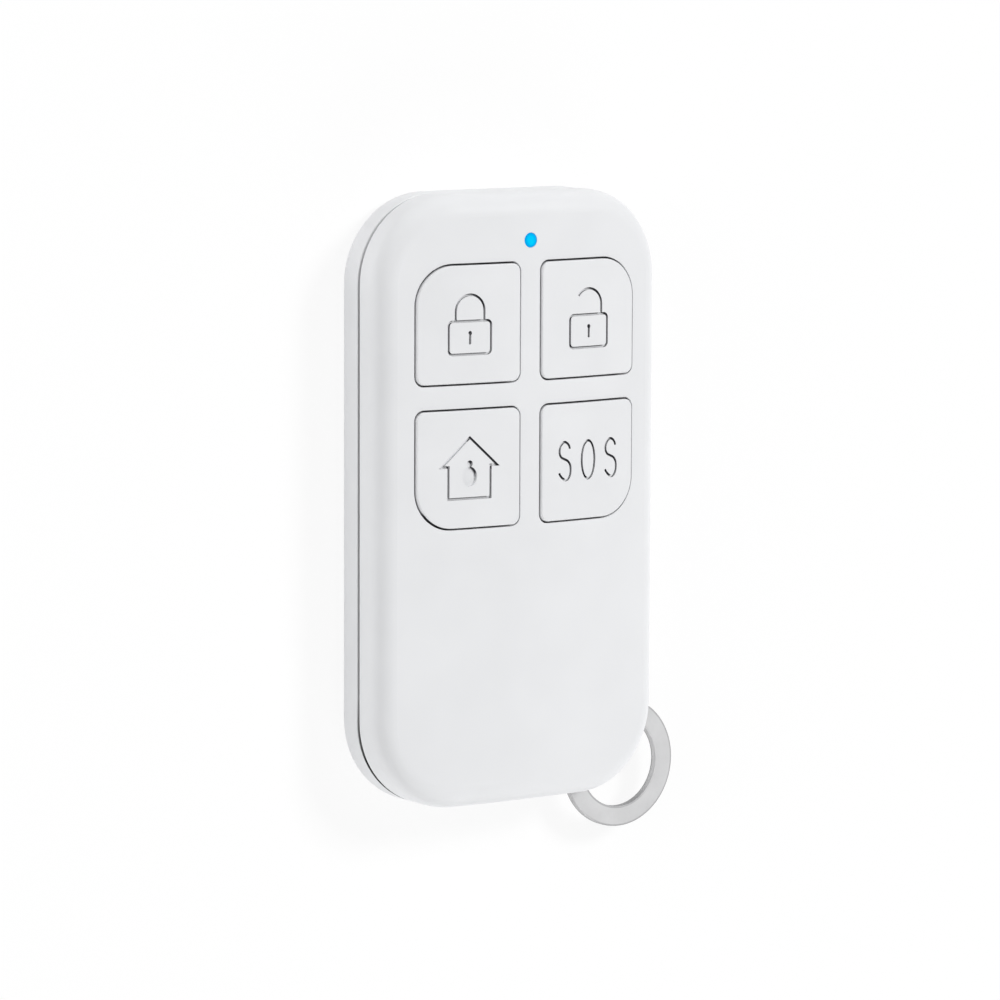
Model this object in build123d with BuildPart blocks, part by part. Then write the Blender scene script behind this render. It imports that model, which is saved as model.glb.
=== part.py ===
from build123d import *
from math import cos, radians, sin, sqrt
import os

os.makedirs("parts", exist_ok=True)

# An alarm key fob lying on its back. Millimetres, +X to the right, +Y along the
# fob towards its lamp, +Z out of the face with the keys. The origin is the
# centre of the flat rear face.

# Case
case_width = 33.5
case_length = 60.85
case_depth = 9.0
case_corner = 8.9
crown_radius = 93.0
front_edge_radius = 2.2
rear_edge_radius = 1.53
parting_edge_radius = 0.12
flank_wall = 1.4
front_wall = 1.25
rear_wall = 1.2
parting_drop = 1.2
reveal = 0.35
lip_inset = 0.85
lip_thickness = 0.45
lip_rise = 0.95
lip_gap = 0.1
overrun = 1.0

# Keys: four square caps in a block, each with one broad corner
key_side_margin = 3.825
key_top_margin = 6.875
key_bar = 2.65
key_gap = 0.2
key_corner = 0.85
key_broad_share = 0.336
key_proud = 0.2
key_edge_radius = 0.15
key_wall = 1.0
key_roof = 1.4
key_flange_width = 0.7
key_flange_thickness = 0.5
key_flange_gap = 0.25
key_travel = 0.3
key_roof_gap = 0.3
pusher_radius = 1.5
divider_width = 0.6

# Symbols cut into the keys
stroke = 0.25
groove_depth = 0.25
padlock_width = 4.75
padlock_height = 3.26
padlock_corner = 0.42
padlock_lift = -1.29
shackle_radius = 1.61
shackle_lift = 1.31
shackle_open_angle = 145
keyhole_radius = 0.21
keyhole_lift = -0.85
keyhole_stem_width = 0.26
keyhole_stem_length = 1.1
roof_peak = 3.12
roof_reach = 3.12
eave_lift = 0.3
house_reach = 2.375
house_floor = -2.88
occupant_head_radius = 0.34
occupant_head_lift = 0.53
occupant_reach = 0.82
occupant_rise = 0.98
occupant_lift = -0.74
letter_reach = 0.82
letter_rise = 1.9
letter_pitch = 2.95
letter_lift = 0.09
letter_shift = 0.01

# Key ring at the lower right corner, on a post in a slot
ring_outer_radius = 6.62
ring_band = 2.06
ring_thickness = 0.8
ring_edge_radius = 0.12
ring_lie = -43.2
ring_swing = 30
ring_play = 0.2
ring_lift = 0.1
ring_clearance = 0.35
post_radius = 1.15
post_inset = 0.6
post_fit = 0.05
post_engagement = 0.5
slot_height = 1.575
slot_wall = 0.9
slot_roof = 0.75

# Coin cell and its contacts
cell_radius = 10.0
cell_inset = 17.0
cell_can_wall = 0.25
cell_cap_radius = 8.8
cell_cap_rise = 0.15
cell_gasket_width = 0.45
cell_rib_gap = 0.3
cell_rib_thickness = 0.8
cell_rib_drop = 0.75
cell_rib_angle = 56
strap_width = 5.0
strap_thickness = 0.2
strap_gap = 0.1
strap_leg_gap = 0.4
strap_foot = 1.0
contact_radius = 4.2
contact_thickness = 0.15
contact_arm = 1.6

# Circuit board and what is soldered to it
board_thickness = 0.8
board_gap = 0.4
copper_thickness = 0.05
copper_width = 1.0
antenna_side_margin = 3.75
antenna_head_margin = 4.4
antenna_foot_margin = 3.4
antenna_corner = 3.8
antenna_tab = 1.3
led_length = 1.6
led_width = 0.8
led_height = 0.6
led_base_height = 0.25
chip_length = 8.65
chip_width = 3.9
chip_height = 1.35
chip_standoff = 0.1
lead_count = 7
lead_pitch = 1.27
lead_width = 0.4
lead_thickness = 0.18
lead_reach = 1.05
resonator_size = 3.8
resonator_height = 1.25
resonator_step = 0.25
transistor_length = 2.9
transistor_width = 1.3
transistor_height = 0.95
transistor_lead_pitch = 0.95
chip_part_length = 1.6
chip_part_width = 0.8
capacitor_height = 0.8
resistor_height = 0.45

# Switches
switch_size = 4.0
switch_height = 0.8
switch_corner = 0.4
switch_floor = 0.15
switch_well_radius = 1.4
switch_cover_thickness = 0.1
switch_fit = 0.05
plunger_radius = 1.0
plunger_rise = 0.5
plunger_collar = 0.25
plunger_collar_height = 0.18
disc_radius = 1.3
disc_rise = 0.3
disc_thickness = 0.06
terminal_length = 0.45
terminal_width = 0.7
terminal_height = 0.15

# Silicone mat
mat_skin = 0.35
mat_margin = 0.6
mat_side_gap = 0.3
mat_top_gap = 0.05
pad_corner = 1.0
nub_radius = 1.6
nub_bore_gap = 0.15

# Light pipe
pipe_radius = 0.71
pipe_fit = 0.04
pipe_flange_radius = 1.5
pipe_flange_thickness = 0.5
pipe_seat_gap = 0.05
pipe_flange_gap = 0.15
pipe_proud = 0.05
pipe_edge_radius = 0.1
pipe_led_gap = 0.2
pipe_inset = 4.67

# Screws from the rear, and the posts that hold the board
screw_radius = 0.85
screw_fit = 0.03
screw_pass_gap = 0.15
screw_engagement = 3.0
screw_point = 0.6
screw_head_radius = 1.5
screw_head_height = 0.85
screw_head_edge = 0.28
screw_seat = 1.0
screw_head_gap = 0.15
screw_cross_length = 1.7
screw_cross_width = 0.4
screw_cross_depth = 0.5
boss_radius = 1.8
boss_drop = 0.52
boss_pull = 1.6
pilot_gap = 0.4
rear_post_radius = 1.1
front_post_radius = 0.9
post_side_margin = 1.95
post_end_margin = 1.3
post_mat_gap = 2.45
upper_post_reach = 5.0

# Places of the electronics: shares of the aerial's reach, and of the board below the mat
chip_share = (-0.3, 0.258)
resonator_share = (0.55, 0.258)
transistor_share = (0.42, 0.56)
capacitor_shares = [(-0.62, 0.53), (-0.4, 0.53), (0.06, 0.56), (0.06, 0.695), (0.28, 0.695), (0.52, 0.695)]
resistor_shares = [(-0.62, 0.61), (-0.4, 0.61), (-0.18, 0.61), (-0.18, 0.53), (-0.4, 0.695), (-0.18, 0.695)]

# One stroke of the letter S, as shares of its reach and rise
s_curve_shares = [(0.72, 0.64), (0.45, 0.9), (-0.08, 1.01), (-0.6, 0.84), (-0.82, 0.46), (-0.6, 0.235),
                  (0.41, 0.008), (0.8, -0.22), (0.88, -0.5), (0.7, -0.83), (0.25, -1), (-0.3, -0.91),
                  (-0.875, -0.606)]

# Heights, worked out downwards from the face to the board
crown_axis = case_depth - crown_radius
key_hollow_top = case_depth - key_roof
nub_top = key_hollow_top - key_roof_gap
plunger_top = nub_top - mat_skin
switch_top = plunger_top - plunger_rise
board_top = switch_top - switch_height
board_bottom = board_top - board_thickness
mat_top = board_top + mat_skin
flange_bottom = mat_top + key_flange_gap + key_travel
key_ceiling = flange_bottom + key_flange_thickness
pipe_seat = case_depth - front_wall - pipe_seat_gap
pipe_bottom = board_top + led_height + pipe_led_gap

# Heights under the board: the coin cell takes what the contacts leave it
cell_top = board_bottom - contact_thickness
cell_bottom = rear_wall + strap_gap + strap_thickness
cell_rib_top = board_bottom - cell_rib_drop
parting_height = board_bottom - parting_drop
rear_top = parting_height - reveal / 2
front_bottom = parting_height + reveal / 2
lip_top = rear_top + lip_rise
slot_floor = front_bottom - slot_height
boss_meeting = parting_height - boss_drop

# Places in plan
key_size = (case_width - 2 * key_side_margin - key_bar) / 2
key_broad_corner = key_size * key_broad_share
key_pitch = key_size + key_bar
block_half = key_pitch / 2 + key_size / 2
key_block_y = case_length / 2 - key_top_margin - block_half
flange_half = block_half + key_flange_width
mat_half = flange_half + mat_margin
mat_foot = key_block_y - mat_half
pipe_y = case_length / 2 - pipe_inset
cell_y = cell_inset - case_length / 2
corner_x = case_width / 2 - case_corner
corner_y = case_length / 2 - case_corner
boss_reach = (case_corner - flank_wall - boss_pull) * sqrt(1 / 2)
boss_x = corner_x + boss_reach
boss_y = corner_y + boss_reach
boss_places = [(boss_x, boss_y), (-boss_x, boss_y), (-boss_x, -boss_y)]
post_reach = case_corner - post_inset - post_radius
post_x = corner_x + post_reach * cos(radians(ring_lie))
post_y = -corner_y + post_reach * sin(radians(ring_lie))
ring_inner_radius = ring_outer_radius - ring_band
ring_offset = ring_inner_radius - post_radius - ring_play
board_half_width = case_width / 2 - flank_wall - board_gap
board_half_length = case_length / 2 - flank_wall - board_gap
antenna_reach = board_half_width - antenna_side_margin
antenna_head = mat_foot - antenna_head_margin
antenna_foot = antenna_foot_margin - board_half_length
side_post_x = board_half_width - post_side_margin
end_post_y = board_half_length - post_end_margin
front_posts = [
    (side_post_x, mat_foot - post_mat_gap),
    (-side_post_x, mat_foot - post_mat_gap),
    (0, -end_post_y),
    (upper_post_reach, end_post_y),
    (-upper_post_reach, end_post_y),
]
rear_posts = front_posts + [(side_post_x, key_block_y), (-side_post_x, key_block_y)]
keys = [("arm", -1, 1), ("disarm", 1, 1), ("home", -1, -1), ("sos", 1, -1)]


def key_centre(column, row):
    """The middle of one key in plan."""
    return (column * key_pitch / 2, key_block_y + row * key_pitch / 2)


def on_board(shares):
    """A place on the board: shares of the aerial's reach, and of the way from the mat to the board's end."""
    return (shares[0] * antenna_reach, mat_foot - shares[1] * (mat_foot + board_half_length))


def ring_centre(angle):
    """The middle of the key ring when it has swung by angle."""
    lie = radians(ring_lie + angle)
    return (post_x + ring_offset * cos(lie), post_y + ring_offset * sin(lie))


def case_outline(inset):
    """The plan outline of the case, drawn in by inset."""
    with BuildSketch() as outline:
        RectangleRounded(case_width - 2 * inset, case_length - 2 * inset, case_corner - inset)
    return outline.sketch


def case_form(inset, bottom, edge_radius):
    """The case's solid form with its crowned face, drawn in by inset at the sides and the top."""
    with BuildPart() as form:
        with BuildSketch(Plane.XY.offset(bottom)):
            add(case_outline(inset[0]))
        extrude(amount=case_depth - bottom)
        with BuildSketch(Plane.XZ):
            with Locations((0, crown_axis)):
                Circle(crown_radius - inset[1])
        extrude(amount=case_length, both=True, mode=Mode.INTERSECT)
        fillet(form.faces().sort_by(Axis.Z)[-1].edges(), radius=edge_radius)
    return form.part


def key_outline(column, row, grow):
    """A key's plan outline, grown or drawn in by grow, broad at the block's own corner."""
    least = key_corner / 2
    with BuildSketch() as outline:
        with Locations(key_centre(column, row)):
            Rectangle(key_size + 2 * grow, key_size + 2 * grow)
        corners = outline.vertices().sort_by_distance((column * case_length, row * case_length + key_block_y))
        fillet(corners[0], radius=max(key_broad_corner + grow, least))
        corners = outline.vertices().sort_by_distance((column * case_length, row * case_length + key_block_y))
        fillet(corners[2:], radius=max(key_corner + grow, least))
    return outline.sketch


def ring_sweep(grow):
    """The plan area that the key ring passes over as it swings, with its clearance."""
    with BuildSketch() as sweep_area:
        Polygon(*[ring_centre(angle) for angle in (-ring_swing, 0, ring_swing)], align=None)
        offset(amount=ring_outer_radius + ring_clearance + grow, kind=Kind.ARC)
    return sweep_area.sketch


# Symbols


def padlock_body():
    """A padlock's rounded body and keyhole, as grooves."""
    with BuildSketch() as body:
        with Locations((0, padlock_lift)):
            RectangleRounded(padlock_width + stroke, padlock_height + stroke, padlock_corner + stroke / 2)
            inside = (padlock_width - stroke, padlock_height - stroke, padlock_corner - stroke / 2)
            RectangleRounded(*inside, mode=Mode.SUBTRACT)
        with Locations((0, keyhole_lift)):
            Circle(keyhole_radius)
            Rectangle(keyhole_stem_width, keyhole_stem_length, align=(Align.CENTER, Align.MAX))
    return body.sketch


def padlock(arc_angle):
    """A padlock whose shackle turns through arc_angle: half a circle when it is shut."""
    shoulder = padlock_lift + padlock_height / 2
    with BuildSketch() as symbol:
        add(padlock_body())
        with BuildLine():
            Line((shackle_radius, shoulder), (shackle_radius, shackle_lift))
            CenterArc((0, shackle_lift), shackle_radius, 0, arc_angle)
            if arc_angle == 180:
                Line((-shackle_radius, shackle_lift), (-shackle_radius, shoulder))
        trace(line_width=stroke)
    return symbol.sketch


def house():
    """A house with an occupant, as grooves."""
    with BuildSketch() as symbol:
        with BuildLine():
            Polyline(
                (0, house_floor),
                (house_reach, house_floor),
                (house_reach, eave_lift),
                (roof_reach, eave_lift),
                (0, roof_peak),
                (-roof_reach, eave_lift),
                (-house_reach, eave_lift),
                (-house_reach, house_floor),
                close=True,
            )
        trace(line_width=stroke)
        with Locations((0, occupant_head_lift)):
            Circle(occupant_head_radius)
        with Locations((0, occupant_lift)):
            Ellipse(occupant_reach, occupant_rise)
    return symbol.sketch


def letters():
    """The distress call in plain strokes, as grooves."""
    with BuildSketch() as symbol:
        with Locations((letter_shift, letter_lift)):
            Ellipse(letter_reach + stroke / 2, letter_rise + stroke / 2)
            Ellipse(letter_reach - stroke / 2, letter_rise - stroke / 2, mode=Mode.SUBTRACT)
        for side in (-1, 1):
            middle = side * letter_pitch + letter_shift
            points = [(middle + x * letter_reach, letter_lift + y * letter_rise) for x, y in s_curve_shares]
            with BuildLine():
                Spline(*points)
            trace(line_width=stroke)
    return symbol.sketch


symbols = {"arm": padlock(180), "disarm": padlock(shackle_open_angle), "home": house(), "sos": letters()}


# Front shell

front_outer = case_form((0, 0), front_bottom, front_edge_radius)
front_hollow = case_form((flank_wall, front_wall), rear_wall, front_edge_radius - flank_wall)
front_core = case_form((lip_inset / 2, lip_inset / 2), rear_wall, front_edge_radius - lip_inset / 2)

with BuildPart() as front_ribs:
    # A flat-bottomed frame round the key openings
    with BuildSketch(Plane.XY.offset(key_ceiling)):
        with Locations((0, key_block_y)):
            frame_span = 2 * (flange_half + divider_width)
            RectangleRounded(frame_span, frame_span, key_broad_corner + key_flange_width)
    extrude(amount=case_depth - key_ceiling)
    # Screw bosses
    with BuildSketch(Plane.XY.offset(boss_meeting)):
        with Locations(*boss_places):
            Circle(boss_radius)
    extrude(amount=case_depth - boss_meeting)
    # A cross between the keys, which holds the mat down
    with BuildSketch(Plane.XY.offset(mat_top)):
        with Locations((0, key_block_y)):
            Rectangle(divider_width, 2 * flange_half)
            Rectangle(2 * flange_half, divider_width)
    extrude(amount=case_depth - mat_top)
    # Posts that hold the board down
    with BuildSketch(Plane.XY.offset(board_top)):
        with Locations(*front_posts):
            Circle(front_post_radius)
    extrude(amount=case_depth - board_top)
    add(front_core, mode=Mode.INTERSECT)

with BuildPart() as front_shell:
    add(front_outer)
    fillet(front_shell.faces().sort_by(Axis.Z)[0].edges(), radius=parting_edge_radius)
    add(front_hollow, mode=Mode.SUBTRACT)
    add(front_ribs.part)
    # Rebate for the rear shell's lip
    with BuildSketch(Plane.XY.offset(boss_meeting - overrun)):
        add(case_outline(lip_inset))
        add(case_outline(flank_wall), mode=Mode.SUBTRACT)
    extrude(amount=lip_top + lip_gap - boss_meeting + overrun, mode=Mode.SUBTRACT)
    # Key openings, and room for the flanges under them
    for name, column, row in keys:
        with BuildSketch(Plane.XY.offset(mat_top)):
            add(key_outline(column, row, key_flange_width + key_flange_gap))
        extrude(amount=key_ceiling - mat_top, mode=Mode.SUBTRACT)
        with BuildSketch(Plane.XY.offset(mat_top)):
            add(key_outline(column, row, key_gap))
        extrude(amount=case_depth - mat_top + overrun, mode=Mode.SUBTRACT)
    # Screw pilot holes
    with BuildSketch(Plane.XY.offset(boss_meeting)):
        with Locations(*boss_places):
            Circle(screw_radius + screw_fit)
    extrude(amount=screw_engagement + pilot_gap, mode=Mode.SUBTRACT)
    # Hole for the light pipe, and room for its flange
    with BuildSketch(Plane.XY.offset(board_top)):
        with Locations((0, pipe_y)):
            Circle(pipe_radius + pipe_fit)
    extrude(amount=case_depth, mode=Mode.SUBTRACT)
    with BuildSketch(Plane.XY.offset(board_top)):
        with Locations((0, pipe_y)):
            Circle(pipe_flange_radius + pipe_flange_gap)
    extrude(amount=pipe_seat - board_top, mode=Mode.SUBTRACT)
    # Roof over the key ring's slot, with the socket for its post
    with BuildSketch(Plane.XY.offset(front_bottom)):
        add(ring_sweep(slot_wall))
        add(case_outline(lip_inset / 2), mode=Mode.INTERSECT)
    extrude(amount=slot_roof)
    with BuildSketch(Plane.XY.offset(front_bottom)):
        with Locations((post_x, post_y)):
            Circle(post_radius + post_fit)
    extrude(amount=post_engagement + post_fit, mode=Mode.SUBTRACT)
front_shell.part.label = "front_shell"
export_step(front_shell.part, "parts/front_shell.step")


# Rear shell

with BuildPart() as rear_shell:
    with BuildSketch():
        add(case_outline(0))
    extrude(amount=rear_top)
    fillet(rear_shell.edges().group_by(Axis.Z)[0], radius=rear_edge_radius)
    fillet(rear_shell.faces().sort_by(Axis.Z)[-1].edges(), radius=parting_edge_radius)
    with BuildSketch(Plane.XY.offset(rear_wall)):
        add(case_outline(flank_wall))
    extrude(amount=rear_top, mode=Mode.SUBTRACT)
    # Lip that enters the front shell
    with BuildSketch(Plane.XY.offset(rear_wall)):
        add(case_outline(lip_inset + lip_gap / 2))
        add(case_outline(lip_inset + lip_gap / 2 + lip_thickness), mode=Mode.SUBTRACT)
    extrude(amount=lip_top - rear_wall)
    with BuildSketch(Plane.XY.offset(rear_top)):
        add(ring_sweep(slot_wall + lip_gap))
    extrude(amount=lip_top, mode=Mode.SUBTRACT)
    # Screw bosses
    with BuildSketch(Plane.XY.offset(rear_wall)):
        with Locations(*boss_places):
            Circle(boss_radius)
    extrude(amount=boss_meeting - rear_wall)
    # Posts under the board
    with BuildSketch(Plane.XY.offset(rear_wall)):
        with Locations(*rear_posts):
            Circle(rear_post_radius)
    extrude(amount=board_bottom - rear_wall)
    # Ribs above and below the coin cell
    with BuildSketch(Plane.XY.offset(rear_wall)):
        for middle in (90, 270):
            with BuildLine():
                CenterArc(
                    (0, cell_y),
                    cell_radius + cell_rib_gap + cell_rib_thickness / 2,
                    middle - cell_rib_angle / 2,
                    cell_rib_angle,
                )
            trace(line_width=cell_rib_thickness)
    extrude(amount=cell_rib_top - rear_wall)
    # Key ring slot: a block, the slot through it and the flank, and the post
    with BuildSketch(Plane.XY.offset(rear_wall)):
        add(ring_sweep(slot_wall))
        add(case_outline(flank_wall), mode=Mode.INTERSECT)
    extrude(amount=front_bottom - rear_wall)
    with BuildSketch(Plane.XY.offset(slot_floor)):
        add(ring_sweep(0))
    extrude(amount=lip_top, mode=Mode.SUBTRACT)
    with BuildSketch(Plane.XY.offset(slot_floor)):
        with Locations((post_x, post_y)):
            Circle(post_radius)
    extrude(amount=front_bottom + post_engagement - slot_floor)
    # Screw holes, counterbored from the rear
    with BuildSketch():
        with Locations(*boss_places):
            Circle(screw_head_radius + screw_head_gap)
    extrude(amount=screw_seat, mode=Mode.SUBTRACT)
    with BuildSketch():
        with Locations(*boss_places):
            Circle(screw_radius + screw_pass_gap)
    extrude(amount=boss_meeting, mode=Mode.SUBTRACT)
rear_shell.part.label = "rear_shell"
export_step(rear_shell.part, "parts/rear_shell.step")


# Keys

for name, column, row in keys:
    centre = key_centre(column, row)
    with BuildPart() as engraving:
        with BuildSketch(Plane.XY.offset(key_ceiling)):
            with Locations(centre):
                add(symbols[name])
        extrude(amount=case_depth - key_ceiling + key_proud)
        with BuildSketch(Plane.XZ):
            with Locations((0, crown_axis)):
                Circle(crown_radius + key_proud - groove_depth)
        extrude(amount=case_length, both=True, mode=Mode.SUBTRACT)
    with BuildPart() as key:
        with BuildSketch(Plane.XY.offset(flange_bottom)):
            add(key_outline(column, row, 0))
        extrude(amount=case_depth + key_proud - flange_bottom)
        with BuildSketch(Plane.XZ):
            with Locations((0, crown_axis)):
                Circle(crown_radius + key_proud)
        extrude(amount=case_length, both=True, mode=Mode.INTERSECT)
        fillet(key.faces().sort_by(Axis.Z)[-1].edges(), radius=key_edge_radius)
        # Flange that keeps the key in the case
        with BuildSketch(Plane.XY.offset(flange_bottom)):
            add(key_outline(column, row, key_flange_width))
        extrude(amount=key_flange_thickness)
        # Hollow underside with its pusher
        with BuildSketch(Plane.XY.offset(flange_bottom)):
            add(key_outline(column, row, -key_wall))
        extrude(amount=key_hollow_top - flange_bottom, mode=Mode.SUBTRACT)
        with BuildSketch(Plane.XY.offset(nub_top)):
            with Locations(centre):
                Circle(pusher_radius)
        extrude(amount=key_hollow_top - nub_top)
        add(engraving.part, mode=Mode.SUBTRACT)
    key.part.label = f"{name}_key"
    export_step(key.part, f"parts/{name}_key.step")


# Key mat: a silicone sheet on the board, raised over each switch

with BuildPart() as key_mat:
    with BuildSketch(Plane.XY.offset(board_top)):
        with Locations((0, key_block_y)):
            mat_corner = key_broad_corner + key_flange_width + mat_margin
            RectangleRounded(2 * mat_half, 2 * mat_half, mat_corner)
        with Locations(*boss_places):
            Circle(boss_radius + board_gap, mode=Mode.SUBTRACT)
    extrude(amount=mat_skin)
    pad_inside = switch_size + 2 * (terminal_length + mat_side_gap)
    pad_top = switch_top + mat_top_gap
    for name, column, row in keys:
        centre = key_centre(column, row)
        with BuildSketch(Plane.XY.offset(board_top)):
            with Locations(centre):
                RectangleRounded(pad_inside + 2 * mat_skin, pad_inside + 2 * mat_skin, pad_corner + mat_skin)
        extrude(amount=pad_top + mat_skin - board_top)
        with BuildSketch(Plane.XY.offset(pad_top)):
            with Locations(centre):
                Circle(nub_radius)
        extrude(amount=nub_top - pad_top)
        with BuildSketch(Plane.XY.offset(board_top)):
            with Locations(centre):
                RectangleRounded(pad_inside, pad_inside, pad_corner)
        extrude(amount=pad_top - board_top, mode=Mode.SUBTRACT)
        with BuildSketch(Plane.XY.offset(board_top)):
            with Locations(centre):
                Circle(plunger_radius + nub_bore_gap)
        extrude(amount=plunger_top - board_top, mode=Mode.SUBTRACT)
key_mat.part.label = "key_mat"
export_step(key_mat.part, "parts/key_mat.step")


# Switches: base, cover and plunger of each, then their discs and terminals

for name, column, row in keys:
    centre = key_centre(column, row)
    cover_bottom = switch_top - switch_cover_thickness
    with BuildPart() as switch_base:
        with BuildSketch(Plane.XY.offset(board_top)):
            with Locations(centre):
                RectangleRounded(switch_size, switch_size, switch_corner)
        extrude(amount=cover_bottom - board_top)
        with BuildSketch(Plane.XY.offset(board_top + switch_floor)):
            with Locations(centre):
                Circle(switch_well_radius)
        extrude(amount=switch_height, mode=Mode.SUBTRACT)
    switch_base.part.label = f"{name}_switch_base"
    export_step(switch_base.part, f"parts/{name}_switch_base.step")

    with BuildPart() as switch_cover:
        with BuildSketch(Plane.XY.offset(cover_bottom)):
            with Locations(centre):
                RectangleRounded(switch_size, switch_size, switch_corner)
                Circle(plunger_radius + switch_fit, mode=Mode.SUBTRACT)
        extrude(amount=switch_cover_thickness)
    switch_cover.part.label = f"{name}_switch_cover"
    export_step(switch_cover.part, f"parts/{name}_switch_cover.step")

    plunger_bottom = board_top + switch_floor + disc_rise + disc_thickness
    with BuildPart() as switch_plunger:
        with BuildSketch(Plane.XY.offset(plunger_bottom)):
            with Locations(centre):
                Circle(plunger_radius)
        extrude(amount=plunger_top - plunger_bottom)
        with BuildSketch(Plane.XY.offset(plunger_bottom)):
            with Locations(centre):
                Circle(plunger_radius + plunger_collar)
        extrude(amount=plunger_collar_height)
    switch_plunger.part.label = f"{name}_switch_plunger"
    export_step(switch_plunger.part, f"parts/{name}_switch_plunger.step")

disc_bend = (disc_radius**2 + disc_rise**2) / (2 * disc_rise)
disc_foot = board_top + switch_floor
with BuildPart() as disc_dome:
    with BuildSketch(Plane.XZ):
        with Locations((0, disc_foot + disc_rise - disc_bend)):
            Circle(disc_bend + disc_thickness)
            Circle(disc_bend, mode=Mode.SUBTRACT)
        with Locations((0, disc_foot)):
            disc_side = (disc_radius, disc_rise + disc_thickness)
            Rectangle(*disc_side, align=(Align.MIN, Align.MIN), mode=Mode.INTERSECT)
    revolve(axis=Axis.Z)
with BuildPart() as switch_discs:
    with Locations(*[key_centre(column, row) for name, column, row in keys]):
        add(disc_dome.part)
switch_discs.part.label = "switch_discs"
export_step(switch_discs.part, "parts/switch_discs.step")

with BuildPart() as switch_terminals:
    with BuildSketch(Plane.XY.offset(board_top)):
        for name, column, row in keys:
            x, y = key_centre(column, row)
            for side in (-1, 1):
                with Locations((x, y)):
                    with Locations((side * (switch_size + terminal_length) / 2, 0)):
                        with GridLocations(0, switch_size - terminal_width, 1, 2):
                            Rectangle(terminal_length, terminal_width)
    extrude(amount=terminal_height)
switch_terminals.part.label = "switch_terminals"
export_step(switch_terminals.part, "parts/switch_terminals.step")


# Circuit board with its printed aerial

with BuildPart() as circuit_board:
    with BuildSketch(Plane.XY.offset(board_bottom)):
        add(case_outline(flank_wall + board_gap))
        with Locations(*boss_places):
            Circle(boss_radius + board_gap, mode=Mode.SUBTRACT)
    extrude(amount=board_thickness)
circuit_board.part.label = "circuit_board"
export_step(circuit_board.part, "parts/circuit_board.step")

with BuildPart() as antenna_loop:
    with BuildSketch(Plane.XY.offset(board_top)):
        with BuildLine():
            Polyline(
                (-antenna_reach + antenna_tab, antenna_head),
                (-antenna_reach, antenna_head),
                (-antenna_reach, antenna_foot + antenna_corner),
                (-antenna_reach + antenna_corner, antenna_foot),
                (antenna_reach - antenna_corner, antenna_foot),
                (antenna_reach, antenna_foot + antenna_corner),
                (antenna_reach, antenna_head),
                (antenna_reach - antenna_tab, antenna_head),
            )
        trace(line_width=copper_width)
    extrude(amount=copper_thickness)
antenna_loop.part.label = "antenna_loop"
export_step(antenna_loop.part, "parts/antenna_loop.step")


# Lamp and its light pipe

with BuildPart() as indicator_led:
    with BuildSketch(Plane.XY.offset(board_top)):
        with Locations((0, pipe_y)):
            Rectangle(led_length, led_width)
    extrude(amount=led_base_height)
    with BuildSketch(Plane.XY.offset(board_top + led_base_height)):
        with Locations((0, pipe_y)):
            Rectangle(led_length - led_base_height * 2, led_width)
    extrude(amount=led_height - led_base_height)
indicator_led.part.label = "indicator_led"
export_step(indicator_led.part, "parts/indicator_led.step")

with BuildPart() as light_pipe:
    with BuildSketch(Plane.XY.offset(pipe_bottom)):
        with Locations((0, pipe_y)):
            Circle(pipe_radius)
    extrude(amount=case_depth + pipe_proud - pipe_bottom)
    fillet(light_pipe.faces().sort_by(Axis.Z)[-1].edges(), radius=pipe_edge_radius)
    with BuildSketch(Plane.XY.offset(pipe_seat - pipe_flange_thickness)):
        with Locations((0, pipe_y)):
            Circle(pipe_flange_radius)
    extrude(amount=pipe_flange_thickness)
light_pipe.part.label = "light_pipe"
export_step(light_pipe.part, "parts/light_pipe.step")


# Controller chip and its leads

chip_x, chip_y = on_board(chip_share)
chip_bottom = board_top + chip_standoff
with BuildPart() as controller_chip:
    with BuildSketch(Plane.XY.offset(chip_bottom)):
        with Locations((chip_x, chip_y)):
            Rectangle(chip_length, chip_width)
    extrude(amount=chip_height)
    chamfer(controller_chip.faces().sort_by(Axis.Z)[-1].edges(), length=chip_standoff)
    with BuildSketch(Plane.XY.offset(chip_bottom + chip_height)):
        with Locations((chip_x - chip_length / 2 + lead_pitch, chip_y - chip_width / 4)):
            Circle(lead_width)
    extrude(amount=-chip_standoff, mode=Mode.SUBTRACT)
controller_chip.part.label = "controller_chip"
export_step(controller_chip.part, "parts/controller_chip.step")


def gull_lead(reach, rise):
    """The side view of one lead: out of a body at rise, down, and along the board."""
    half = lead_thickness / 2
    with BuildSketch() as lead:
        with BuildLine():
            Polyline((0, rise), (reach / 2, rise), (reach / 2, half), (reach, half))
        trace(line_width=lead_thickness)
    return lead.sketch


with BuildPart() as controller_leads:
    for side in (-1, 1):
        for place in range(lead_count):
            x = chip_x + (place - (lead_count - 1) / 2) * lead_pitch
            y = chip_y + side * chip_width / 2
            lead_plane = Plane(origin=(x, y, board_top), x_dir=(0, side, 0), z_dir=(side, 0, 0))
            with BuildSketch(lead_plane):
                add(gull_lead(lead_reach, chip_standoff + chip_height / 2))
            extrude(amount=lead_width / 2, both=True)
controller_leads.part.label = "controller_leads"
export_step(controller_leads.part, "parts/controller_leads.step")


# Radio: resonator and output transistor

with BuildPart() as resonator:
    with BuildSketch(Plane.XY.offset(board_top)):
        with Locations(on_board(resonator_share)):
            Rectangle(resonator_size, resonator_size)
    extrude(amount=resonator_height - resonator_step)
    with BuildSketch(Plane.XY.offset(board_top)):
        with Locations(on_board(resonator_share)):
            lid_size = resonator_size - 2 * resonator_step
            RectangleRounded(lid_size, lid_size, resonator_step)
    extrude(amount=resonator_height)
resonator.part.label = "resonator"
export_step(resonator.part, "parts/resonator.step")

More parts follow.
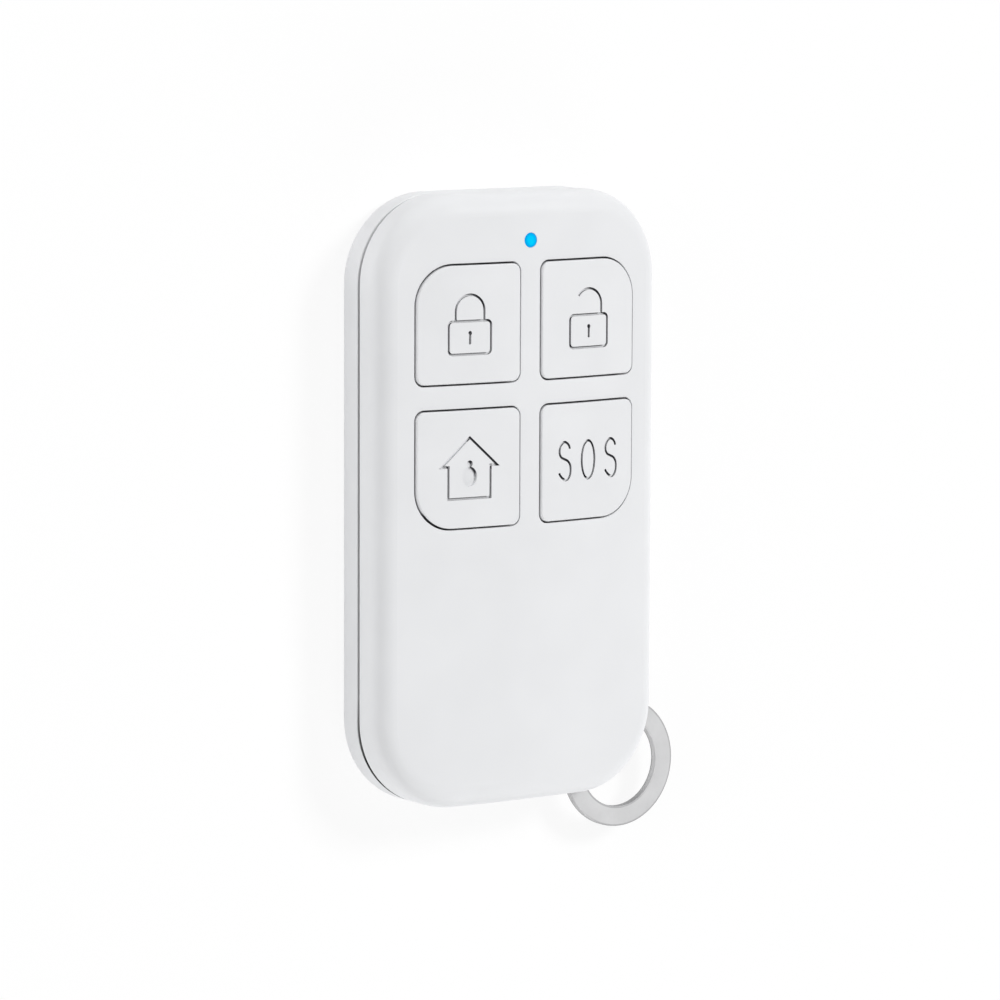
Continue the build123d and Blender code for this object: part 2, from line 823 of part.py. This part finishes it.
transistor_x, transistor_y = on_board(transistor_share)
with BuildPart() as rf_transistor:
    with BuildSketch(Plane.XY.offset(board_top + chip_standoff)):
        with Locations((transistor_x, transistor_y)):
            Rectangle(transistor_length, transistor_width)
    extrude(amount=transistor_height)
    chamfer(rf_transistor.faces().sort_by(Axis.Z)[-1].edges(), length=chip_standoff)
rf_transistor.part.label = "rf_transistor"
export_step(rf_transistor.part, "parts/rf_transistor.step")

with BuildPart() as transistor_leads:
    for shift, side in ((-transistor_lead_pitch, -1), (transistor_lead_pitch, -1), (0, 1)):
        origin = (transistor_x + shift, transistor_y + side * transistor_width / 2, board_top)
        lead_plane = Plane(origin=origin, x_dir=(0, side, 0), z_dir=(side, 0, 0))
        with BuildSketch(lead_plane):
            add(gull_lead(lead_reach / 2, chip_standoff + transistor_height / 2))
        extrude(amount=lead_width / 2, both=True)
transistor_leads.part.label = "transistor_leads"
export_step(transistor_leads.part, "parts/transistor_leads.step")

with BuildPart() as capacitors:
    with BuildSketch(Plane.XY.offset(board_top)):
        with Locations(*[on_board(shares) for shares in capacitor_shares]):
            Rectangle(chip_part_length, chip_part_width)
    extrude(amount=capacitor_height)
capacitors.part.label = "capacitors"
export_step(capacitors.part, "parts/capacitors.step")

with BuildPart() as resistors:
    with BuildSketch(Plane.XY.offset(board_top)):
        with Locations(*[on_board(shares) for shares in resistor_shares]):
            Rectangle(chip_part_length, chip_part_width)
    extrude(amount=resistor_height)
resistors.part.label = "resistors"
export_step(resistors.part, "parts/resistors.step")


# Coin cell: can, gasket and cap

can_top = cell_top - cell_cap_rise
with BuildPart() as cell_can:
    with BuildSketch(Plane.XY.offset(cell_bottom)):
        with Locations((0, cell_y)):
            Circle(cell_radius)
    extrude(amount=can_top - cell_bottom)
    fillet(cell_can.edges(), radius=cell_can_wall)
    with BuildSketch(Plane.XY.offset(cell_bottom + cell_can_wall)):
        with Locations((0, cell_y)):
            Circle(cell_cap_radius + cell_gasket_width)
    extrude(amount=cell_top - cell_bottom, mode=Mode.SUBTRACT)
cell_can.part.label = "cell_can"
export_step(cell_can.part, "parts/cell_can.step")

with BuildPart() as cell_gasket:
    with BuildSketch(Plane.XY.offset(cell_bottom + cell_can_wall)):
        with Locations((0, cell_y)):
            Circle(cell_cap_radius + cell_gasket_width)
            Circle(cell_cap_radius, mode=Mode.SUBTRACT)
    extrude(amount=can_top - cell_bottom - cell_can_wall)
cell_gasket.part.label = "cell_gasket"
export_step(cell_gasket.part, "parts/cell_gasket.step")

with BuildPart() as cell_cap:
    with BuildSketch(Plane.XY.offset(cell_bottom + cell_can_wall)):
        with Locations((0, cell_y)):
            Circle(cell_cap_radius)
    extrude(amount=cell_top - cell_bottom - cell_can_wall)
    fillet(cell_cap.edges().sort_by(Axis.Z)[-1], radius=cell_cap_rise / 2)
cell_cap.part.label = "cell_cap"
export_step(cell_cap.part, "parts/cell_cap.step")


# Contacts on the cell

leg_x = cell_radius + strap_leg_gap + strap_thickness / 2
strap_low = cell_bottom - strap_thickness / 2
strap_high = board_bottom - strap_thickness / 2
with BuildPart() as cell_strap:
    with BuildSketch(Plane.XZ.offset(-cell_y)):
        with BuildLine():
            Polyline(
                (-leg_x - strap_foot, strap_high),
                (-leg_x, strap_high),
                (-leg_x, strap_low),
                (leg_x, strap_low),
                (leg_x, strap_high),
                (leg_x + strap_foot, strap_high),
            )
        trace(line_width=strap_thickness)
    extrude(amount=strap_width / 2, both=True)
cell_strap.part.label = "cell_strap"
export_step(cell_strap.part, "parts/cell_strap.step")

with BuildPart() as cell_contact:
    with BuildSketch(Plane.XY.offset(cell_top)):
        with Locations((0, cell_y)):
            Circle(contact_radius)
            Circle(contact_radius - contact_arm, mode=Mode.SUBTRACT)
            Rectangle(2 * contact_radius - contact_arm, contact_arm)
            Rectangle(contact_arm, 2 * contact_radius - contact_arm)
    extrude(amount=contact_thickness)
cell_contact.part.label = "cell_contact"
export_step(cell_contact.part, "parts/cell_contact.step")


# Case screws, driven from the rear

with BuildPart() as case_screw:
    with BuildSketch(Plane.XY.offset(screw_seat)):
        Circle(screw_radius)
    extrude(amount=boss_meeting - screw_seat + screw_engagement)
    chamfer(case_screw.faces().sort_by(Axis.Z)[-1].edges(), length=screw_point)
    with BuildSketch(Plane.XY.offset(screw_seat - screw_head_height)):
        Circle(screw_head_radius)
    extrude(amount=screw_head_height)
    fillet(case_screw.edges().sort_by(Axis.Z)[0], radius=screw_head_edge)
    with BuildSketch(Plane.XY.offset(screw_seat - screw_head_height)):
        Rectangle(screw_cross_length, screw_cross_width)
        Rectangle(screw_cross_width, screw_cross_length)
    extrude(amount=screw_cross_depth, mode=Mode.SUBTRACT)
with BuildPart() as case_screws:
    with Locations(*boss_places):
        add(case_screw.part)
case_screws.part.label = "case_screws"
export_step(case_screws.part, "parts/case_screws.step")


# Key ring

with BuildPart() as key_ring:
    with BuildSketch(Plane.XY.offset(slot_floor + ring_lift)):
        with Locations(ring_centre(0)):
            Circle(ring_outer_radius)
            Circle(ring_inner_radius, mode=Mode.SUBTRACT)
    extrude(amount=ring_thickness)
    fillet(key_ring.edges().filter_by(GeomType.CIRCLE), radius=ring_edge_radius)
key_ring.part.label = "key_ring"
export_step(key_ring.part, "parts/key_ring.step")
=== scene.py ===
from math import radians

import bpy
from mathutils import Matrix, Vector

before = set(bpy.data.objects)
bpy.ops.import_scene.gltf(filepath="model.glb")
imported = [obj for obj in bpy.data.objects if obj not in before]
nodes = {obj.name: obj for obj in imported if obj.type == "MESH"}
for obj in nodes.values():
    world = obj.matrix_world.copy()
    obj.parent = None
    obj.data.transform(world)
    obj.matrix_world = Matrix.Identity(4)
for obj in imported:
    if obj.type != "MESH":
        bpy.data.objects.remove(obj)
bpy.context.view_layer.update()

MM = 0.001
WHITE = (1, 1, 1, 1)

# Camera, as the photograph sees the fob lying on its back
IMAGE_SIDE = 1000
FOCAL_PIXELS = 5300
SENSOR_MM = 36
CLIP_RANGE = (0.01, 10)
TURN_DEG = 34.59
TILT_DEG = 7.0
ROLL_DEG = -0.22
SHIFT_MM = (2.975, 10.56)
DISTANCE_MM = 523.3
AIM_MM = (0, 10.625, 9.0)

# Light and floor, in watts and metres. The main lamp stands beyond the fob's upper right corner, and two
# low ones soften the foot and the left side.
WORLD_STRENGTH = 0.32
LAMP_SIZE = 0.4
LAMPS = (
    # name, direction, watts, distance
    ("key_lamp", (0.7, 0.62, 0.97), 13.9, 1.5),
    ("foot_lamp", (0.25, -1.0, 0.35), 1.67, 0.6),
    ("side_lamp", (-0.95, 0.25, 0.3), 1.3, 0.6),
)
FLOOR_HALF = 1.5
FLOOR_DROP = 0.00003
FLOOR_SHADOW_SHARE = 0.12

# Colours of the outside, and the places that they follow, in millimetres in the fob's own frame. Each pair
# of numbers runs from where a shade is none to where it is full.
CASE_WHITES = ((0.80, 0.807, 0.821), (0.83, 0.837, 0.851))
CASE_HALF_LENGTH = 30.425
PARTING_HEIGHT = 3.65
# Painted shade in the parting gap between the shells, fading out towards the lamp's end, and a darker
# painted shade at the foot
PARTING_REACH = (0.2, 0.17)
PARTING_FADE = (57.0, 50.0)
PARTING_PAINTED_SHADE = (0.55, 0.55, 0.555)
PARTING_FOOT_REACH = (0.25, 0.2)
PARTING_FOOT_FADE = (11.0, 5.0)
PARTING_FOOT_PAINTED_SHADE = (0.03, 0.03, 0.032)

KEY_CROWN_AXIS = (0, 0, -84.0)
KEY_CROWN_RADIUS = 93.2
# Painted shade down the keys' sides, deep in the gaps between keys and case
GAP_DEPTHS = (0.28, 0.45)
GAP_PAINTED_SHADE = (0.35, 0.35, 0.36)
# Painted shadow in the symbols' grooves, on walls and floors sheltered from the main lamp's side
GROOVE_DEPTHS = (0.02, 0.06)
GROOVE_SHADE = (0.06, 0.06, 0.07)
GROOVE_SHADE_DIRECTION = (0.7, 0.7, 0.15)
TURNED_AWAY = (-0.76, -0.92)
SHELTER_REACH = 0.35
SHELTER_SAMPLES = 128
SHELTERED = (0.65, 0.545)
SYMBOLS_INNER_SIDE = (2.0, 2.4)
SYMBOLS_OUTER_SIDE = (12.4, 12.0)

LAMP_AXIS = (0, 25.755, 0)
LAMP_RIM = (0.35, 0.72)

RING_AXIS = (15.402, -28.617, 0)
RING_INNER = 4.56
RING_OUTER = 6.62
RING_BOTTOM = 2.35
# Painted light on the bore's wall, and painted shade along the ring's outer, inner and lower rims
RING_WALL_REACH = (0.12, 0.04)
RING_WALL_PAINTED_LIGHT = (0.72, 0.72, 0.725)
RING_OUTER_RIM_REACH = (0.24, 0.1)
RING_INNER_RIM_REACH = (0.25, 0.1)
RING_LOWER_RIM_REACH = (0.28, 0.12)
RING_RIM_PAINTED_SHADE = (0.33, 0.33, 0.335)
RING_LEFT = (5.402, 0, 0)
RING_OUTER_RIM_FADE = (4.5, 8.0)
RING_INNER_RIM_FADE = (14.5, 12.0)


# Nodes


def fill(tree, node, inputs):
    """Sets a node's inputs: a socket is linked to it, and any other value is typed in."""
    for name, value in inputs.items():
        if isinstance(value, bpy.types.NodeSocket):
            tree.links.new(value, node.inputs[name])
        else:
            node.inputs[name].default_value = value


def add_node(tree, kind, inputs, operation=None):
    """A new node with its operation and inputs."""
    node = tree.nodes.new(kind)
    if operation:
        node.operation = operation
    fill(tree, node, inputs)
    return node


def calculate(tree, operation, first, second):
    """What an operation makes of two values, each a socket or a number."""
    return add_node(tree, "ShaderNodeMath", {0: first, 1: second}, operation).outputs[0]


def seen_share(tree):
    """1 for rays from the camera, from a reflection or through a clear piece, and 0 for rays of light."""
    path = add_node(tree, "ShaderNodeLightPath", {}).outputs
    seen = calculate(tree, "MAXIMUM", path["Is Camera Ray"], path["Is Glossy Ray"])
    return calculate(tree, "MAXIMUM", seen, path["Is Transmission Ray"])


def mix_to_output(tree, output, share, first, second):
    """Mixes the second of two shaders into the first by a share, as the tree's output."""
    mix = add_node(tree, "ShaderNodeMixShader", {0: share, 1: first.outputs[0], 2: second.outputs[0]})
    add_node(tree, output, {"Surface": mix.outputs[0]})


# Camera, light and floor


def camera_rotation():
    """The rotation that carries the fob's axes to the camera's right, up and back."""
    turn = Matrix.Rotation(radians(TURN_DEG), 3, "Y")
    tilt = Matrix.Rotation(radians(TILT_DEG), 3, "X")
    roll = Matrix.Rotation(radians(ROLL_DEG), 3, "Z")
    return roll @ tilt @ turn


def make_camera():
    """The photograph's camera, which looks at AIM_MM from DISTANCE_MM, off centre by SHIFT_MM."""
    data = bpy.data.cameras.new("camera")
    data.sensor_width = SENSOR_MM
    data.lens = FOCAL_PIXELS / IMAGE_SIDE * SENSOR_MM
    data.clip_start, data.clip_end = CLIP_RANGE
    camera = bpy.data.objects.new("camera", data)
    bpy.context.scene.collection.objects.link(camera)
    to_world = camera_rotation().transposed()
    eye = to_world @ Vector((-SHIFT_MM[0], -SHIFT_MM[1], DISTANCE_MM)) + Vector(AIM_MM)
    camera.matrix_world = Matrix.Translation(eye * MM) @ to_world.to_4x4()
    bpy.context.scene.camera = camera


def make_lamp(name, direction, watts, distance):
    """A square soft lamp that faces the fob from a direction."""
    data = bpy.data.lights.new(name, "AREA")
    data.shape = "SQUARE"
    data.size = LAMP_SIZE
    data.energy = watts
    lamp = bpy.data.objects.new(name, data)
    bpy.context.scene.collection.objects.link(lamp)
    back = Vector(direction).normalized()
    lamp.location = back * distance
    lamp.rotation_mode = "QUATERNION"
    lamp.rotation_quaternion = back.to_track_quat("Z", "Y")


def make_world():
    """Soft even light from all round, which the camera and reflections see as white."""
    world = bpy.data.worlds.new("studio")
    bpy.context.scene.world = world
    world.use_nodes = True
    tree = world.node_tree
    tree.nodes.clear()
    seen = seen_share(tree)
    light = add_node(tree, "ShaderNodeBackground", {"Color": WHITE, "Strength": WORLD_STRENGTH})
    white = add_node(tree, "ShaderNodeBackground", {"Color": WHITE, "Strength": 1})
    mix_to_output(tree, "ShaderNodeOutputWorld", seen, light, white)


def make_floor():
    """A plain floor just under the fob, seen as white but for a part of the fob's shadow."""
    mesh = bpy.data.meshes.new("floor")
    signs = ((-1, -1), (1, -1), (1, 1), (-1, 1))
    corners = [(x * FLOOR_HALF, y * FLOOR_HALF, -FLOOR_DROP) for x, y in signs]
    mesh.from_pydata(corners, [], [(0, 1, 2, 3)])
    floor = bpy.data.objects.new("floor", mesh)
    bpy.context.scene.collection.objects.link(floor)
    material = bpy.data.materials.new("floor_white")
    material.use_nodes = True
    tree = material.node_tree
    tree.nodes.clear()
    seen = calculate(tree, "MULTIPLY", seen_share(tree), 1 - FLOOR_SHADOW_SHARE)
    lit = add_node(tree, "ShaderNodeBsdfDiffuse", {"Color": WHITE})
    white = add_node(tree, "ShaderNodeEmission", {"Color": WHITE, "Strength": 1})
    mix_to_output(tree, "ShaderNodeOutputMaterial", seen, lit, white)
    mesh.materials.append(material)


# Materials


class Shader:
    """One node material: a main shader, with procedural colour, roughness and relief added to it."""

    def __init__(self, name, **sockets):
        self.material = bpy.data.materials.new(name)
        self.material.use_nodes = True
        self.tree = self.material.node_tree
        self.tree.nodes.clear()
        inputs = {socket.replace("_", " "): value for socket, value in sockets.items()}
        self.main = self.add("ShaderNodeBsdfPrincipled", inputs)
        self.add("ShaderNodeOutputMaterial", {"Surface": self.main.outputs[0]})
        self.place = self.add("ShaderNodeTexCoord", {}).outputs
        self.relief = None

    def add(self, kind, inputs, operation=None):
        """A new node in this material's tree."""
        return add_node(self.tree, kind, inputs, operation)

    def noise(self, size_mm, detail=3.0, stretch=(1, 1, 1)):
        """A noise whose features are about size_mm wide, drawn out along the axes by stretch."""
        scale = [1 / (size_mm * MM * s) for s in stretch]
        scaled = self.add("ShaderNodeMapping", {"Scale": scale, "Vector": self.place["Object"]})
        inputs = {"Scale": 1, "Detail": detail, "Vector": scaled.outputs["Vector"]}
        return self.add("ShaderNodeTexNoise", inputs).outputs["Fac"]

    def vary(self, socket, size_mm, low, high, positions=(0.3, 0.7), **noise):
        """Makes one of the main shader's sockets drift over size_mm between two colours or greys."""
        ramp = self.add("ShaderNodeValToRGB", {"Fac": self.noise(size_mm, **noise)})
        for element, position, shade in zip(ramp.color_ramp.elements, positions, (low, high)):
            element.position = position
            element.color = (*shade, 1) if isinstance(shade, tuple) else (shade, shade, shade, 1)
        self.tree.links.new(ramp.outputs["Color"], self.main.inputs[socket])
        return self

    def colour(self, size_mm, dark, light, **noise):
        """Base colour that drifts between dark and light over size_mm."""
        return self.vary("Base Color", size_mm, dark, light, **noise)

    def rough(self, size_mm, low, high, **noise):
        """Roughness that drifts between low and high over size_mm."""
        return self.vary("Roughness", size_mm, low, high, **noise)

    def bump(self, size_mm, depth_mm, **noise):
        """Relief about depth_mm deep with features about size_mm wide."""
        inputs = {"Strength": 1, "Distance": depth_mm * MM, "Height": self.noise(size_mm, **noise)}
        if self.relief:
            inputs["Normal"] = self.relief
        self.relief = self.add("ShaderNodeBump", inputs).outputs["Normal"]
        self.tree.links.new(self.relief, self.main.inputs["Normal"])
        return self

    def distance(self, centre_mm, along):
        """The distance in millimetres from a centre, measured along the axes that are 1."""
        centre = [c * MM for c in centre_mm]
        per_mm = [a / MM for a in along]
        offset = self.add("ShaderNodeVectorMath", {0: self.place["Object"], 1: centre}, "SUBTRACT")
        scaled = self.add("ShaderNodeVectorMath", {0: offset.outputs["Vector"], 1: per_mm}, "MULTIPLY")
        return self.add("ShaderNodeVectorMath", {0: scaled.outputs["Vector"]}, "LENGTH").outputs["Value"]

    def between(self, value, start, end):
        """0 where value is at start, and 1 where it is at end."""
        inputs = {"From Min": start, "From Max": end, "Value": value}
        return self.add("ShaderNodeMapRange", inputs).outputs["Result"]

    def both(self, share, other):
        """The product of two shares."""
        return calculate(self.tree, "MULTIPLY", share, other)

    def either(self, share, other):
        """The larger of two shares."""
        return calculate(self.tree, "MAXIMUM", share, other)

    def facing(self, direction):
        """How squarely the surface faces a direction: 1 straight at it, -1 straight away."""
        inputs = {0: self.place["Normal"], 1: Vector(direction).normalized()}
        return self.add("ShaderNodeVectorMath", inputs, "DOT_PRODUCT").outputs["Value"]

    def openness(self, direction, reach_mm):
        """How much of the light from a direction the piece's own form lets through within reach_mm."""
        toward = self.add("ShaderNodeCombineXYZ", dict(enumerate(Vector(direction).normalized())))
        inputs = {"Distance": reach_mm * MM, "Normal": toward.outputs["Vector"]}
        through = self.add("ShaderNodeAmbientOcclusion", inputs)
        through.samples = SHELTER_SAMPLES
        through.only_local = True
        return through.outputs["AO"]

    def tint(self, share, colour, socket="Base Color"):
        """Mixes colour into a colour socket by a share."""
        target = self.main.inputs[socket]
        mix = self.tree.nodes.new("ShaderNodeMix")
        mix.data_type = "RGBA"
        fill(self.tree, mix, {"Factor": share, "A": target.links[0].from_socket, "B": (*colour, 1)})
        self.tree.links.new(mix.outputs["Result"], target)
        return self


def case_white():
    """Fine satin white, with painted shade in the parting gap that fades out at the lamp's end and is
    darkest at the foot.
    """
    shader = Shader("case_white", Roughness=0.54, IOR=1.46, Specular_IOR_Level=0.35)
    shader.colour(9, *CASE_WHITES, detail=2.0)
    from_gap = shader.distance((0, 0, PARTING_HEIGHT), (0, 0, 1))
    from_foot = shader.distance((0, -CASE_HALF_LENGTH, 0), (0, 1, 0))
    # Painted shade in the parting gap, darkest at the foot
    for reach, fade, shade in (
        (PARTING_REACH, PARTING_FADE, PARTING_PAINTED_SHADE),
        (PARTING_FOOT_REACH, PARTING_FOOT_FADE, PARTING_FOOT_PAINTED_SHADE),
    ):
        gap = shader.both(shader.between(from_gap, *reach), shader.between(from_foot, *fade))
        shader.tint(gap, shade)
    shader.rough(2.5, 0.5, 0.58)
    return shader.bump(0.12, 0.0025, detail=4.0).bump(1.6, 0.002, detail=1.0).material


def key_white():
    """As the case, with painted shade down the sides in the gaps and painted shadow in the symbols'
    grooves.
    """
    shader = Shader("key_white", Roughness=0.5, IOR=1.46, Specular_IOR_Level=0.35)
    shader.colour(6, *CASE_WHITES, detail=2.0)
    from_axis = shader.distance(KEY_CROWN_AXIS, (1, 0, 1))

    def below_crown(shallow, deep):
        return shader.between(from_axis, KEY_CROWN_RADIUS - shallow, KEY_CROWN_RADIUS - deep)

    # Painted shade down the keys' sides in the gaps
    shader.tint(below_crown(*GAP_DEPTHS), GAP_PAINTED_SHADE)
    # The symbols carry a painted shadow on the side that the main lamp comes over: on walls turned away
    # from it, and where the groove's own form shelters them from it
    groove = below_crown(*GROOVE_DEPTHS)
    from_middle = shader.distance((0, 0, 0), (1, 0, 0))
    for side in (SYMBOLS_INNER_SIDE, SYMBOLS_OUTER_SIDE):
        groove = shader.both(groove, shader.between(from_middle, *side))
    turned_away = shader.between(shader.facing(GROOVE_SHADE_DIRECTION), *TURNED_AWAY)
    sheltered = shader.between(shader.openness(GROOVE_SHADE_DIRECTION, SHELTER_REACH), *SHELTERED)
    shader.tint(shader.both(groove, shader.either(turned_away, sheltered)), GROOVE_SHADE)
    return shader.rough(2.0, 0.46, 0.54).bump(0.1, 0.002, detail=4.0).material


def lamp_blue():
    """A lit window, deeper blue towards its rim."""
    shader = Shader("lamp_blue", Roughness=0.25, IOR=1.49, Specular_IOR_Level=0.02,
                    Emission_Strength=0.62)
    shader.vary("Emission Color", 0.9, (0.0, 0.60, 0.95), (0.0, 0.66, 1.0), (0.35, 0.7), detail=1.0)
    shader.colour(0.9, (0.0, 0.20, 0.40), (0.0, 0.25, 0.45))
    rim = shader.between(shader.distance(LAMP_AXIS, (1, 1, 0)), *LAMP_RIM)
    shader.tint(rim, (0.0, 0.12, 0.3))
    shader.tint(rim, (0.0, 0.38, 0.85), "Emission Color")
    return shader.bump(0.3, 0.002).material


def ring_nickel():
    """Matt plating, with painted light that makes the bore's wall paler, and painted shade along the
    ring's edges.
    """
    shader = Shader("ring_nickel", Metallic=0.45, Roughness=0.55)
    shader.colour(3, (0.535, 0.535, 0.54), (0.59, 0.59, 0.595))
    radius = shader.distance(RING_AXIS, (1, 1, 0))
    height = shader.distance((0, 0, RING_BOTTOM), (0, 0, 1))
    from_left = shader.distance(RING_LEFT, (1, 0, 0))
    wall = shader.between(radius, *(RING_INNER + reach for reach in RING_WALL_REACH))
    outer_rim = shader.between(radius, *(RING_OUTER - reach for reach in RING_OUTER_RIM_REACH))
    inner_rim = shader.between(radius, *(RING_INNER + reach for reach in RING_INNER_RIM_REACH))
    # Painted light on the bore's wall, then painted shade on the outer, lower and inner rims
    shader.tint(wall, RING_WALL_PAINTED_LIGHT)
    shader.tint(shader.both(outer_rim, shader.between(from_left, *RING_OUTER_RIM_FADE)), RING_RIM_PAINTED_SHADE)
    shader.tint(shader.between(height, *RING_LOWER_RIM_REACH), RING_RIM_PAINTED_SHADE)
    shader.tint(shader.both(inner_rim, shader.between(from_left, *RING_INNER_RIM_FADE)), RING_RIM_PAINTED_SHADE)
    shader.rough(0.5, 0.48, 0.62)
    return shader.bump(0.08, 0.0015, detail=4.0).bump(1.2, 0.002, detail=2.0).material


def screw_steel():
    """Dull zinc plating."""
    shader = Shader("screw_steel", Metallic=1.0, Roughness=0.35)
    shader.colour(0.7, (0.42, 0.42, 0.43), (0.6, 0.6, 0.6))
    return shader.rough(0.3, 0.25, 0.5).bump(0.1, 0.004).material


def spring_metal():
    """Plated spring metal with the lines of its rolling along X."""
    shader = Shader("spring_metal", Metallic=1.0, Roughness=0.3)
    shader.colour(2, (0.6, 0.6, 0.58), (0.72, 0.71, 0.69), stretch=(6, 1, 1))
    shader.rough(0.8, 0.22, 0.4, stretch=(8, 1, 1))
    return shader.bump(0.1, 0.001, stretch=(10, 1, 1)).material


def cell_steel():
    """Bright plated steel with faint lines along Y."""
    shader = Shader("cell_steel", Metallic=1.0, Roughness=0.26)
    shader.colour(4, (0.66, 0.66, 0.65), (0.76, 0.76, 0.75))
    shader.rough(1.0, 0.2, 0.34, stretch=(1, 5, 1))
    return shader.bump(0.15, 0.001, stretch=(1, 6, 1)).material


def silicone_grey():
    """Soft grey silicone that lets a little light in."""
    shader = Shader("silicone_grey", Roughness=0.62, IOR=1.41, Subsurface_Weight=0.15,
                    Subsurface_Radius=(0.001, 0.001, 0.001))
    shader.colour(5, (0.56, 0.57, 0.58), (0.62, 0.63, 0.64))
    return shader.rough(1.0, 0.55, 0.7).bump(0.2, 0.004).material


def board_green():
    """Solder mask over the weave of a laminate."""
    shader = Shader("board_green", Roughness=0.35, IOR=1.5)
    shader.colour(1.4, (0.004, 0.055, 0.02), (0.008, 0.085, 0.032))
    return shader.rough(0.6, 0.3, 0.45).bump(0.35, 0.004).material


def track_copper():
    """Bare copper track."""
    shader = Shader("track_copper", Metallic=1.0, Roughness=0.3)
    shader.colour(1.0, (0.62, 0.34, 0.17), (0.74, 0.45, 0.24))
    return shader.rough(0.5, 0.22, 0.4).bump(0.1, 0.001).material


def chip_black():
    """Fine-grained moulding resin."""
    shader = Shader("chip_black", Roughness=0.5, IOR=1.5)
    shader.colour(0.5, (0.012, 0.012, 0.013), (0.022, 0.022, 0.024))
    return shader.rough(0.3, 0.42, 0.62).bump(0.06, 0.002).material


def nylon_black():
    """Smooth black moulding."""
    shader = Shader("nylon_black", Roughness=0.45, IOR=1.5)
    shader.colour(1.0, (0.018, 0.018, 0.02), (0.03, 0.03, 0.032))
    return shader.rough(0.4, 0.38, 0.55).bump(0.1, 0.002).material


def capacitor_tan():
    """Fired ceramic."""
    shader = Shader("capacitor_tan", Roughness=0.5, IOR=1.55)
    shader.colour(0.6, (0.24, 0.15, 0.085), (0.33, 0.22, 0.13))
    return shader.rough(0.3, 0.42, 0.6).bump(0.08, 0.002).material


def lamp_resin():
    """Pale glossy resin."""
    shader = Shader("lamp_resin", Roughness=0.25, IOR=1.52)
    shader.colour(0.5, (0.72, 0.76, 0.7), (0.8, 0.84, 0.78))
    return shader.rough(0.3, 0.2, 0.35).bump(0.1, 0.001).material


def dress():
    """Gives every solid its material."""
    by_material = {
        case_white: ["front_shell", "rear_shell"],
        key_white: ["arm_key", "disarm_key", "home_key", "sos_key"],
        lamp_blue: ["light_pipe"],
        ring_nickel: ["key_ring"],
        screw_steel: ["case_screws"],
        spring_metal: ["switch_discs", "switch_terminals", "controller_leads", "transistor_leads",
                       "cell_strap", "cell_contact"],
        cell_steel: ["cell_can", "cell_cap", "resonator"],
        silicone_grey: ["key_mat"],
        board_green: ["circuit_board"],
        track_copper: ["antenna_loop"],
        chip_black: ["controller_chip", "rf_transistor", "resistors"],
        nylon_black: ["cell_gasket"],
        capacitor_tan: ["capacitors"],
        lamp_resin: ["indicator_led"],
    }
    for switch in ("arm", "disarm", "home", "sos"):
        by_material[spring_metal].append(f"{switch}_switch_cover")
        by_material[nylon_black] += [f"{switch}_switch_base", f"{switch}_switch_plunger"]
    for make, names in by_material.items():
        material = make()
        for name in names:
            for slot in nodes[name].material_slots:
                slot.material = material


make_camera()
make_world()
make_floor()
for lamp in LAMPS:
    make_lamp(*lamp)
dress()

bpy.context.scene.view_settings.view_transform = "Standard"
